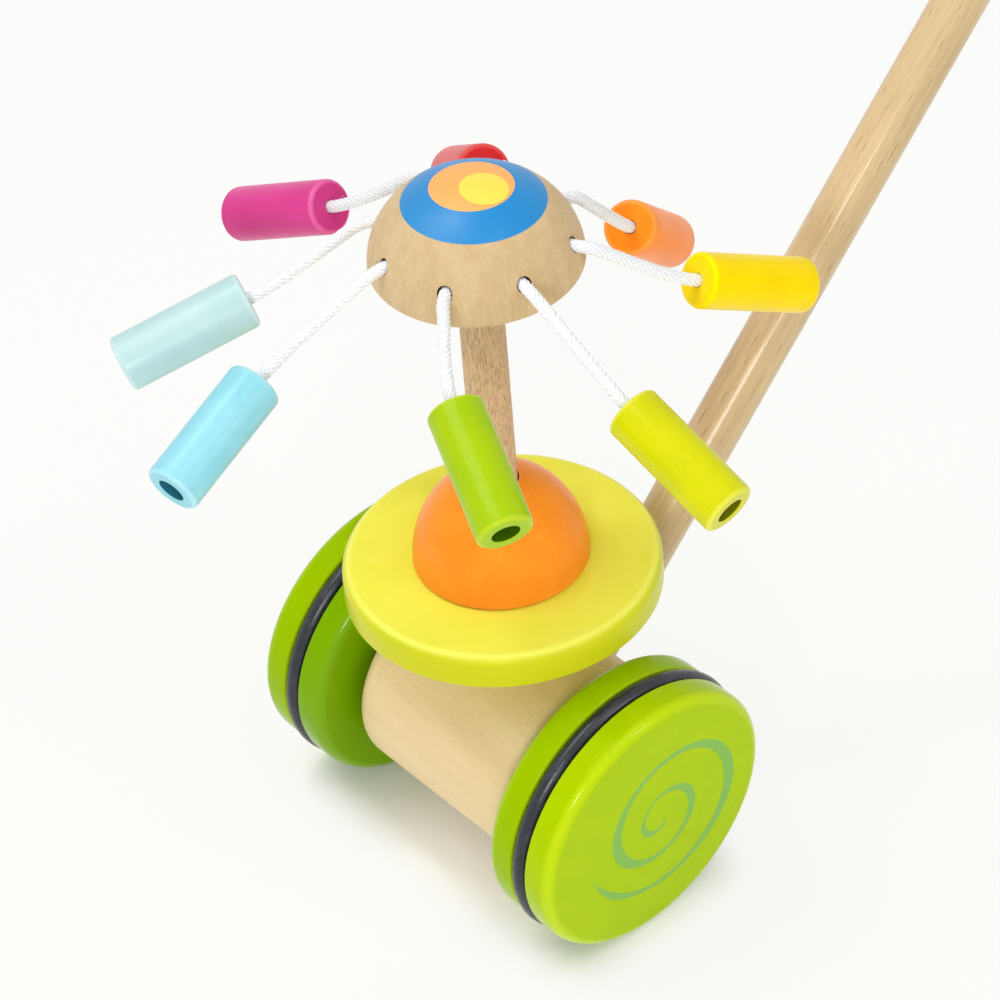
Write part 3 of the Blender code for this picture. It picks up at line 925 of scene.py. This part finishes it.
# %% Hemisphere
# Paint, its edge tone of wear and painted highlight, and its deep tone.
CAP_ORANGE = screen(250, 150, 44), screen(255, 180, 90), screen(244, 130, 22)
CAP_STEPS = 28


def cap_section():
    """Section of the hemisphere, a little taller than round."""
    hole = POST_RADIUS + CAP_BORE_SLACK
    start = math.acos(hole / CAP_RADIUS)
    angles = [start * (1 - i / CAP_STEPS) for i in range(CAP_STEPS)]
    return ([(CAP_RADIUS * math.cos(a), CAP_HEIGHT * math.sin(a), 0.8 if a == start else 0)
             for a in angles]
            + [(CAP_RADIUS, CAP_UNDERCUT, 0), (CAP_RADIUS - CAP_UNDERCUT, 0, 0), (hole, 0, 0)])


place = at_height(DISC_TOP + SEAT_GAP)
half_ball = turned("half_ball", cap_section(), 128, place,
                   paint_finish("orange_paint", lying(place), *CAP_ORANGE, sheen=0.3,
                                Lathe_marks=0.0, Fibre_marks=0.95, Gloss=0.26),
                   closed=True)
settle(half_ball, "roundabout", "hemisphere")

# %% [markdown]
# ## Dome
#
# The dome is hollow underneath, with a boss for the post. Eight cords leave it
# through drilled holes. Three plain discs of paint lie on its top. Seen from
# above, each is a circle, so the mask only needs the distance from a point of
# the dome's own plan.

# %% Dome shape
DOME_RADIUS = 0.0352
DOME_HEIGHT = 0.0314
DOME_RIM = 0.0015
DOME_WALL = 0.0070
DOME_HOLLOW = 0.0158
DOME_HOLLOW_EDGE = 0.0030
DOME_BOSS = 0.0130
DOME_STEPS = 36
CORD_HOLE_RADIUS = 0.0026
CORD_HOLE_HEIGHT = 0.0118
CORD_DRILL_PAST = 0.0040       # the drills reach past the dome's skin
BEAD_NAMES = ("green", "lime", "yellow", "orange", "red", "pink", "mint", "cyan")
FIRST_HOLE_DEG = -59.0
HOLES_DEG = [FIRST_HOLE_DEG + 360 / len(BEAD_NAMES) * i for i in range(len(BEAD_NAMES))]


def dome_radius_at(height):
    """Outer radius of the dome at a height above its rim's underside."""
    share = (height - DOME_RIM) / (DOME_HEIGHT - DOME_RIM)
    return DOME_RADIUS * math.sqrt(1 - share ** 2)


def dome_section():
    """Section of the dome: shell, hollow underside, boss and socket."""
    hollow_r = DOME_RADIUS - DOME_WALL
    socket, socket_end = POST_RADIUS + SEAT_GAP, DOME_SOCKET + SEAT_GAP
    section = []
    for i in range(DOME_STEPS + 1):
        angle = math.pi / 2 * (1 - i / DOME_STEPS)
        section.append((DOME_RADIUS * math.cos(angle) if i else 0,
                        DOME_RIM + (DOME_HEIGHT - DOME_RIM) * math.sin(angle), 0))
    return (section + arc(DOME_RADIUS - DOME_RIM, DOME_RIM, DOME_RIM, 0, -90, 6)[1:]
            + [(hollow_r, 0, 0)]
            + arc(hollow_r - DOME_HOLLOW_EDGE, DOME_HOLLOW - DOME_HOLLOW_EDGE,
                  DOME_HOLLOW_EDGE, 0, 90, 6, 0)
            + [(DOME_BOSS, DOME_HOLLOW, 0), (DOME_BOSS, 0, 0), (socket, 0, 0),
               (socket, socket_end, 0), (0, socket_end, 0)])


print("dome section", len(dome_section()), "points")

# %% Dome finish
DOME_MAPLE = screen(214, 187, 144), screen(185, 152, 104), screen(161, 123, 77)
# Each printed disc: colour, middle of the circle across the dome, radius. The
# first is the widest and lies under the other two.
DOME_PRINTS = (
    (screen(0, 134, 202), (-0.0001, 0.0009), 0.0235),
    (screen(254, 176, 92), (-0.0007, 0.0010), 0.0137),
    (screen(250, 222, 80), (0.0045, 0.0017), 0.0078),
)
PRINTS_ABOVE = (0.0100, 0.0110)      # no paint on the dome's underside
PRINT_ROUGHNESS = 0.48
PRINT_EDGE = 0.00015
PRINT_DARK = 0.7               # how deep the brush marks go


def dome_finish(place):
    """Maple with three printed discs of paint on top."""
    material = wood_finish("dome_maple", place, *DOME_MAPLE, Pore_share=0.45, Figure=0.5,
                           Pore_scale=6000.0, Pore_length=0.3, Band_scale=210.0, Grit=0.42,
                           Fibres=1.1)
    tree, shader = opened(material)
    space = piece_space(tree, place)
    x, y, z = parts(space)
    above = ramp(z, *PRINTS_ABOVE)
    brush = noise(squeezed(space, 1.0, 0.2), 900.0, 3.0) * 0.25
    masks = [ramp(distance(x - cx, y - cy), radius, radius + PRINT_EDGE, 1.0, 0.0) * above
             for _, (cx, cy), radius in DOME_PRINTS]
    colour = fed(shader["Base Color"])
    for mask, (paint, _, _) in zip(masks, DOME_PRINTS):
        dark = tuple(PRINT_DARK * c for c in paint[:3]) + (1.0,)
        colour = mix(mask, colour, mix(brush, paint, dark))
    put(colour, shader["Base Color"])
    rough = fed(shader["Roughness"])
    put(rough + masks[0] * (PRINT_ROUGHNESS - rough), shader["Roughness"])
    varnish(shader, masks[0] * 0.35, 0.33)
    return material


print(len(DOME_PRINTS), "printed discs")

# %% Dome
DOME = at_height(DOME_LOW)
DOME_ENDS = screen(140, 98, 62), screen(96, 64, 40), screen(70, 44, 26)
dome = turned("maple_dome", dome_section(), 160, DOME, dome_finish(DOME))
skin = dome_radius_at(CORD_HOLE_HEIGHT)
hollow = DOME_RADIUS - DOME_WALL - DOME_HOLLOW_EDGE
bore(dome, [drill(CORD_HOLE_RADIUS, hollow, skin + CORD_DRILL_PAST,
                  DOME @ pointing(heading(hole_deg, 0), (0, 0, CORD_HOLE_HEIGHT)))
            for hole_deg in HOLES_DEG],
     wood_finish("drilled_dome", DOME, *DOME_ENDS, Pore_share=0.6))
settle(dome, "roundabout", "dome")

# %% [markdown]
# ## Beads
#
# Every bead is a turned cylinder, drilled right through and drilled wider at
# its outer end to swallow the cord's knot. They hang in the dome's wake, as
# they do when the toy is rolled along.

# %% Bead sizes and places
BEAD_RADIUS = 0.0093
BEAD_LENGTH = 0.0455
BEAD_EDGE = 0.0017
BEAD_BORE = 0.0023
BEAD_BORE_EDGE = 0.0004
BEAD_MOUTH = 0.0046
BEAD_MOUTH_EDGE = 0.0005
BEAD_MOUTH_DEPTH = 0.0190
BORE_WALLS = 0.00465           # walls nearer to the axis are a bore
CORD_REACH = 0.0500
SWING_STANDOFF = 0.0030
# Droop and sideways trail of each cord, then of its bead, and its reach as a share.
BEAD_POSES = {
    "green": (7, 21, 24, 37, 0.95), "lime": (14, 5, 22, 15, 1.12),
    "yellow": (36, 40, 27, 48, 0.96), "orange": (47, 31, 42, 39, 0.99),
    "red": (37, 30, 35, 34, 0.97), "pink": (35, 25, 25, 25, 0.98),
    "mint": (8, 55, 17, 35, 0.97), "cyan": (23, 8, 18, 23, 1.04),
}


def bead_lines(name):
    """Swing point, way out of the hole, way of the cord, bead's end and way of the bead."""
    cord_droop, cord_trail, bead_droop, bead_trail, reach = BEAD_POSES[name]
    hole_deg = HOLES_DEG[BEAD_NAMES.index(name)]
    outward = heading(hole_deg, 0)
    swing = outward * (dome_radius_at(CORD_HOLE_HEIGHT) + SWING_STANDOFF)
    swing.z = DOME_LOW + CORD_HOLE_HEIGHT
    cord_way = heading(hole_deg + cord_trail, cord_droop)
    bead_way = heading(hole_deg + bead_trail, bead_droop)
    bead_end = swing + cord_way * (CORD_REACH * reach)
    turn = ROUNDABOUT.to_3x3()
    return (ROUNDABOUT @ swing, turn @ outward, turn @ cord_way, ROUNDABOUT @ bead_end,
            turn @ bead_way)


for name in BEAD_NAMES:
    gap = (bead_lines(name)[0] - Vector(joints["swing_" + name]["pos_m"])).length
    print(name, "swing point", round(gap * 1000, 3), "mm from its joint")

# %% Bead colours
# Paint, its lighter tone on edges, which is wear and a painted highlight, and its deeper tone in
# the clouds.
BEAD_PAINTS = {
    "green": ((164, 195, 0), (214, 226, 56), (142, 182, 0)),
    "lime": ((209, 208, 0), (248, 246, 110), (188, 191, 0)),
    "yellow": ((248, 216, 0), (255, 240, 16), (232, 200, 0)),
    "orange": ((255, 142, 28), (255, 178, 100), (248, 120, 14)),
    "red": ((216, 42, 46), (240, 110, 104), (196, 26, 34)),
    "pink": ((216, 62, 142), (248, 136, 194), (197, 44, 122)),
    "mint": ((184, 213, 213), (222, 240, 240), (166, 203, 201)),
    "cyan": ((150, 212, 225), (202, 241, 248), (118, 197, 213)),
}
STREAKED = ("green", "lime")   # these two show a clear streak of light
print(len(BEAD_PAINTS), "bead colours")


# %% Beads
def bead_section():
    """Section of a bead from its inner end."""
    top, rim = BEAD_LENGTH, BEAD_RADIUS - BEAD_EDGE
    step = top - BEAD_MOUTH_DEPTH
    return (arc(rim, top - BEAD_EDGE, BEAD_EDGE, 90, 0, 7)
            + [(BEAD_RADIUS, top * share, 0) for share in (0.75, 0.5, 0.25)]
            + arc(rim, BEAD_EDGE, BEAD_EDGE, 0, -90, 7)
            + arc(BEAD_BORE + BEAD_BORE_EDGE, BEAD_BORE_EDGE, BEAD_BORE_EDGE, 270, 180, 3, 0.5)
            + [(BEAD_BORE, step, 0), (BEAD_MOUTH, step, 0)]
            + arc(BEAD_MOUTH + BEAD_MOUTH_EDGE, top - BEAD_MOUTH_EDGE, BEAD_MOUTH_EDGE,
                  180, 90, 3, 0.5))


for name in BEAD_NAMES:
    _, _, _, bead_end, bead_way = bead_lines(name)
    place = pointing(bead_way, bead_end)
    paint, light, deep = (screen(*c) for c in BEAD_PAINTS[name])
    # painted shade inside the bore: the deep tone, darker and more saturated
    shade = tuple(0.5 * value ** 1.8 for value in deep[:3]) + (1.0,)    # inside the bore
    painted_bore_shade = paint_finish("bead_bore_" + name, place, shade, shade, shade, Gloss=0.5)
    coloured = paint_finish("bead_paint_" + name, place, paint, light, deep,
                            sheen=0.1 if name in STREAKED else 0.34,
                            tint=0.0 if name == "yellow" else 0.35, relief=FINE_RELIEF / 2,
                            Lathe_marks=0.12, Fibre_marks=0.30, Gloss=0.27)
    if name in STREAKED:
        varnish(opened(coloured)[1], 0.22, 0.15)
    bead = turned("turned_bead_" + name, bead_section(), 72, place, coloured, closed=True,
                  inner=(BORE_WALLS, BEAD_LENGTH / 2, painted_bore_shade))
    settle(bead, "bead_" + name, "bead_" + name)

# %% [markdown]
# ## Cords
#
# The cords are white braided cotton, 4 mm thick: eight strands wind round one way
# and eight the other, each passing over one and under the next. Where a strand is
# on top, the cord's skin bulges across it and sinks where it dives, so one tube
# of rings can carry the whole braid, with some loose fibres for the fluff. Each
# cord is one piece from its knot inside the dome to the knot inside its bead,
# and bends where it leaves the dome.

# %% Middle line of a cord
CORD_RADIUS = 0.0020
CORD_BEND = 0.0120
CORD_SKIN = 0.00215            # out to the crests of the strands
CORD_SAG = 0.0004              # a cord rests on the lower side of its hole
CORD_LEAD = 0.0060             # the bend at the dome starts and ends here
KNOT_RADIUS = 0.0035
KNOT_TAIL = 0.0030
STEP = 0.0005


def bezier(a, b, c, d, steps):
    """Points of a cubic curve, without the first."""
    points = []
    for i in range(1, steps + 1):
        share = i / steps
        rest = 1 - share
        points.append(a * rest ** 3 + b * 3 * rest ** 2 * share + c * 3 * rest * share ** 2
                      + d * share ** 3)
    return points


def evenly(points, step):
    """The same line with points a step apart."""
    spaced, left = [points[0].copy()], step
    for start, end in zip(points, points[1:]):
        length = (end - start).length
        at = 0.0
        while length - at >= left:
            at += left
            spaced.append(start.lerp(end, at / length))
            left = step
        left -= length - at
    return spaced


def cord_route(name):
    """Middle line from the knot in the dome to the tail of the knot in the bead."""
    swing, outward, cord_way, bead_end, bead_way = bead_lines(name)
    knot_r = DOME_RADIUS - DOME_WALL - SEAT_GAP - KNOT_RADIUS
    back = dome_radius_at(CORD_HOLE_HEIGHT) + SWING_STANDOFF - knot_r + KNOT_RADIUS + KNOT_TAIL
    knot_in_bead = BEAD_LENGTH - BEAD_MOUTH_DEPTH + SEAT_GAP + KNOT_RADIUS
    lower = swing - SPIN_AXIS * CORD_SAG
    before, after = lower - outward * CORD_LEAD, swing + cord_way * CORD_LEAD
    points = [lower - outward * back, before]
    points += bezier(before, lower - outward * CORD_LEAD / 3, swing + cord_way * CORD_LEAD / 3,
                     after, 16)
    points += bezier(after, swing + cord_way * CORD_BEND, bead_end - bead_way * CORD_BEND,
                     bead_end, 60)
    points.append(bead_end + bead_way * (knot_in_bead + KNOT_RADIUS + KNOT_TAIL))
    knots = (lower - outward * (back - KNOT_TAIL - KNOT_RADIUS),
             bead_end + bead_way * knot_in_bead)
    return evenly(points, STEP), knots


def swell(point, knots):
    """How much thicker the cord is at a point, where a knot is tied."""
    near = min((point - knot).length for knot in knots) / KNOT_RADIUS
    if near >= 1:
        return 1.0
    return 1.0 + (KNOT_RADIUS / CORD_RADIUS - 1.0) * math.sqrt(1 - near ** 2)


print("a route of", len(cord_route("green")[0]), "points for the green bead")


# %% Cotton finish
def cotton_finish():
    """Soft white cotton with fine fibres and painted shade in the braid's valleys."""
    material = new_finish("white_cotton")
    tree, shader = opened(material)
    room = room_space(tree)
    fluff = noise(room, 5200.0, 3.0, 0.7)
    # painted shade in the braid's valleys
    valley = ramp(attribute(tree, "valley"), 0.15, 0.95)
    shade = (valley * 0.9 + noise(room, 300.0) * 0.2).clamped()
    put(mix(shade, screen(253, 253, 253), screen(216, 220, 226)), shader["Base Color"])
    put(fluff * 0.15 + 0.8, shader["Roughness"])
    put(0.1, shader["Sheen Weight"])
    put(0.5, shader["Sheen Roughness"])
    bump(shader, fluff, 0.00012)
    return material


COTTON = cotton_finish()
print(COTTON.name, "ready")

# %% Braid
STRANDS_EACH_WAY = 8
BRAID_PITCH = 0.0190           # length of one full turn of a strand
BRAID_RELIEF = 0.00036         # depth of the valleys between strands
BRAID_SIDES = 32


def line_frames(route):
    """Two steady cross directions for each point of a route."""
    frames = []
    side = None
    for i, point in enumerate(route):
        way = (route[min(i + 1, len(route) - 1)] - route[max(i - 1, 0)]).normalized()
        if side is None:
            side = way.orthogonal().normalized()
        side = (side - way * side.dot(way)).normalized()
        frames.append((side.copy(), way.cross(side)))
    return frames


def braid_height(angle, along):
    """0 in the valleys and 1 on the crest of the strand that lies on top here."""
    wind = math.tau * along / BRAID_PITCH
    one = math.sin(STRANDS_EACH_WAY / 2 * (angle + wind))
    other = math.sin(STRANDS_EACH_WAY / 2 * (angle - wind))
    crest, dive = (one, other) if one * other > 0 else (other, one)
    return abs(crest) * (0.55 + 0.45 * math.sqrt(abs(dive)))


def add_tube(shape, rings):
    """Skin a row of vertex rings and close both ends."""
    for low, high in zip(rings, rings[1:]):
        for k in range(len(low)):
            shape.faces.new((low[k - 1], low[k], high[k], high[k - 1]))
    shape.faces.new(rings[0][::-1])
    shape.faces.new(rings[-1])


def out_at(frame, angle):
    """Direction away from the line at an angle round it."""
    side, up = frame
    return side * math.cos(angle) + up * math.sin(angle)


print("braid of", 2 * STRANDS_EACH_WAY, "strands")

# %% Loose fibres and cords
HAIRS = 110
HAIR_RADIUS = 0.00005
HAIR_LENGTHS = (0.0006, 0.0017)
HAIR_ROOT = 0.85               # share of the cord's skin where a fibre starts


def add_hair(shape, start, out, along, length):
    """A fine fibre that leaves the cord and bends along it."""
    rings = []
    for i in range(4):
        share = i / 3
        centre = start + (out * (share - 0.45 * share ** 2) + along * share ** 2) * length
        frame = (out, out.cross(along).normalized())
        radius = HAIR_RADIUS * (1 - 0.5 * share)
        rings.append([shape.verts.new(centre + out_at(frame, math.tau * k / 3) * radius)
                      for k in range(3)])
    add_tube(shape, rings)


def braided(name, route, knots):
    """A braided cord as one skin that rises and falls with its strands."""
    shape = bmesh.new()
    valley = shape.verts.layers.float.new("valley")
    frames = line_frames(route)
    swells = [swell(point, knots) for point in route]
    rings = []
    for i, point in enumerate(route):
        ring = []
        for k in range(BRAID_SIDES):
            angle = math.tau * k / BRAID_SIDES
            depth = 1 - braid_height(angle, i * STEP)
            reach = CORD_SKIN * swells[i] - BRAID_RELIEF * depth
            ring.append(shape.verts.new(point + out_at(frames[i], angle) * reach))
            # the depth also darkens the cord's colour in the valleys as painted shade
            ring[-1][valley] = depth
        rings.append(ring)
    add_tube(shape, rings)
    chance = random.Random(name)
    bare = [i for i, thick in enumerate(swells) if thick == 1.0]
    for i in chance.sample(bare, HAIRS):
        side, up = frames[i]
        out = out_at(frames[i], chance.uniform(0, math.tau))
        along = side.cross(up) * chance.choice((-1, 1)) + side * chance.uniform(-0.5, 0.5)
        add_hair(shape, route[i] + out * CORD_SKIN * HAIR_ROOT, out, along,
                 chance.uniform(*HAIR_LENGTHS))
    bmesh.ops.recalc_face_normals(shape, faces=shape.faces)
    return link(name, shape, Matrix(), COTTON)


for name in BEAD_NAMES:
    route, knots = cord_route(name)
    cord = braided("braided_cord_" + name, route, knots)
    swing, outward, cord_way, _, _ = bead_lines(name)
    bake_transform(cord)
    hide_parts("cord_" + name, "cord_root_" + name)

# %% [markdown]
# ## Floor and light
#
# The studio is a white table in a white room. Most of the floor shines by itself,
# so it stays white; under the wheels it doesn't, and keeps their close shadow.
# The room's light comes from everywhere, one large soft lamp above on the left
# shapes the round forms, a smaller one on the right keeps their far sides
# bright, and three small lamps put the glints on the paint.

# %% Floor
FLOOR_WHITE = screen(250, 250, 248)
FLOOR_SHINE = screen(251, 251, 249)
FLOOR_GLOW = 0.84              # share of the white that needs no lamp
CONTACT = (0.060, 0.026)       # half sizes of the patch that stays without it
GLOW_NEAR = (0.003, 0.024)     # off the patch, the glow sets in between these
GLOW_FAR = (0.15, 0.9)         # and between these it makes up all of the white


def seen_directly(tree):
    """1 for what the camera sees, also in a mirror or through a clear thing."""
    paths = node(tree, "LightPath").outputs
    glossy, clear = Term(paths["Is Glossy Ray"]), Term(paths["Is Transmission Ray"])
    return Term(paths["Is Camera Ray"]).do("MAXIMUM", glossy.do("MAXIMUM", clear))


shape = bmesh.new()
bmesh.ops.create_grid(shape, x_segments=1, y_segments=1, size=6.0)
floor_finish = new_finish("pale_table")
tree, table = opened(floor_finish)
put(FLOOR_WHITE, table["Base Color"])
put(0.8, table["Roughness"])
put(0.2, table["Specular IOR Level"])
glow = node(tree, "Emission", Color=FLOOR_SHINE, Strength=1.0)
x, y, _ = from_axle(tree)
away = distance((abs(x) - CONTACT[0]).do("MAXIMUM", 0.0), (abs(y) - CONTACT[1]).do("MAXIMUM", 0.0))
share = ramp(away, *GLOW_NEAR, 0.0, FLOOR_GLOW) + ramp(away, *GLOW_FAR, 0.0, 1 - FLOOR_GLOW)
both = tree.nodes.new("ShaderNodeMixShader")
put(seen_directly(tree) * share, both.inputs[0])
put(Term(tree.nodes["Principled BSDF"].outputs[0]), both.inputs[1])
put(Term(glow.outputs[0]), both.inputs[2])
put(Term(both.outputs[0]), tree.nodes["Material Output"].inputs["Surface"])
floor = link("floor", shape, Matrix(), floor_finish)
print("floor glows outside", CONTACT)

# %% Light
ROOM_SEEN = 0.97               # how white the room looks
ROOM_LIGHT = 0.49              # how much light it gives
world = bpy.data.worlds.new("white_room")
bpy.context.scene.world = world
world.use_nodes = True
room = world.node_tree.nodes["Background"].inputs
put((1.0, 1.0, 0.985, 1.0), room["Color"])
put(seen_directly(world.node_tree) * (ROOM_SEEN - ROOM_LIGHT) + ROOM_LIGHT, room["Strength"])
# Each lamp: name, place, size and power. All look at a point above the drum.
LAMPS = (
    ("softbox_above", (-0.89, -0.81, 2.19), 1.6, 23.0),
    ("softbox_right", (0.95, 0.05, 2.1), 1.1, 6.5),
    ("small_lamp_above", (-0.84, -0.28, 2.1), 0.22, 4.5),
    ("small_lamp_front", (0.94, -1.24, 0.80), 0.35, 7.5),
    ("small_lamp_right", (1.46, 0.45, 0.9), 0.42, 3.5),
)
LAMP_TARGET = Vector((0, 0, 0.12))
for name, at, size, power in LAMPS:
    data = bpy.data.lights.new(name, "AREA")
    data.size, data.energy = size, power
    lamp = placed(name, data)
    lamp.location = at
    lamp.rotation_euler = (LAMP_TARGET - Vector(at)).to_track_quat("-Z", "Y").to_euler()
print("lights ready")
